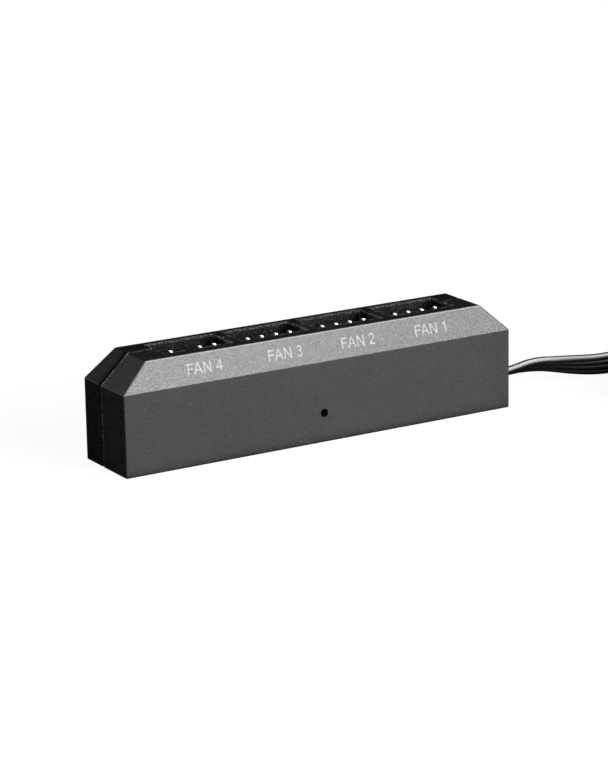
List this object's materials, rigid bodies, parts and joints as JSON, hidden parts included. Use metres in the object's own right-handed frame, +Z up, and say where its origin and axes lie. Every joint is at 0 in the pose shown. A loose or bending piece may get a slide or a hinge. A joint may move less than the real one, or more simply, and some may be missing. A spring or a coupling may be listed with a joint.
{
  "type": "pc fan controller hub",
  "caption": "Slim black case with sloped shoulders and a row of four-pin fan header sockets along the top, an indicator hole in front and a flat lead with a plug at one end.",
  "frame": {"origin": "middle of the underside of the case", "axes": "+X along the case to the lead end, +Y to the back, +Z up out of the header sockets"},
  "size_m": [0.1293, 0.0502, 0.0174],
  "materials": {
    "case_plastic": "fine spark-eroded texture, black",
    "header_plastic": "smooth moulded, black",
    "tinned_pins": "bright tin plate",
    "board": "dark solder mask",
    "led_resin": "clear resin in a white body",
    "can_aluminium": "satin can",
    "chip_ceramic": "fired ceramic",
    "lead_jacket": "smooth vinyl, black",
    "tie_nylon": "smooth nylon, black",
    "terminal_brass": "stamped brass"
  },
  "bodies": {
    "root": {"front_shell": "case_plastic", "rear_shell": "case_plastic", "circuit_board": "board", "fan_header_1": "header_plastic", "fan_header_2": "header_plastic", "fan_header_3": "header_plastic", "fan_header_4": "header_plastic", "header_pins_1": "tinned_pins", "header_pins_2": "tinned_pins", "header_pins_3": "tinned_pins", "header_pins_4": "tinned_pins", "indicator_led": "led_resin", "bulk_capacitor": "can_aluminium", "capacitor_base": "header_plastic", "chip_resistors": "chip_ceramic", "chip_capacitors": "chip_ceramic", "lead_cores": "tinned_pins", "lead_ribbon": "lead_jacket", "lead_coil": "lead_jacket", "lead_tie": "tie_nylon", "lead_fanout": "lead_jacket", "plug_housing": "header_plastic", "plug_terminals": "terminal_brass"}
  },
  "joints": []
}
